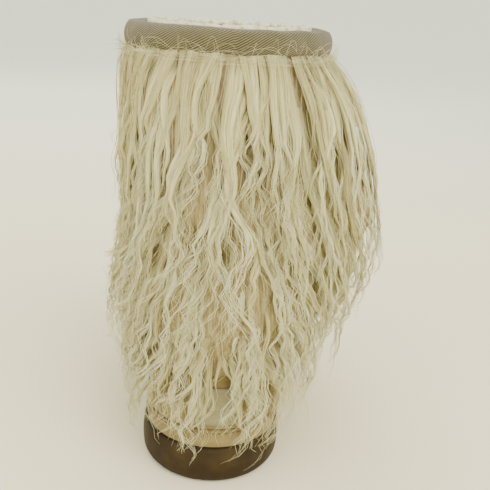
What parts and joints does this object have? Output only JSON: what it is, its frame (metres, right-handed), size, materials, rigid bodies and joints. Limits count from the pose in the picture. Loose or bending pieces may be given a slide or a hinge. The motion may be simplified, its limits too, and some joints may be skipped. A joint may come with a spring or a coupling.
{
  "type": "sheepskin boot",
  "caption": "Short pull-on sheepskin boot for the right foot, with long curly fleece over its shaft, a suede foot, a bound collar and a flat foam sole.",
  "frame": {"origin": "on the floor, under the middle of the heel", "axes": "toe towards -Y, big toe's side +X, collar up +Z"},
  "size_m": [0.1599, 0.2853, 0.25],
  "materials": {
    "foam_sole": "moulded foam, matt",
    "lining_wool": "shorn sheep's wool",
    "suede": "napped suede",
    "label": "smooth nubuck, blank",
    "tape": "folded cotton twill",
    "fleece": "long curly wool"
  },
  "bodies": {
    "root": {"outsole": "foam_sole", "insole": "lining_wool", "upper": "suede", "rand": "suede", "heel_counter": "suede", "heel_label": "label", "collar_tape": "tape", "fleece": "fleece"}
  },
  "joints": []
}
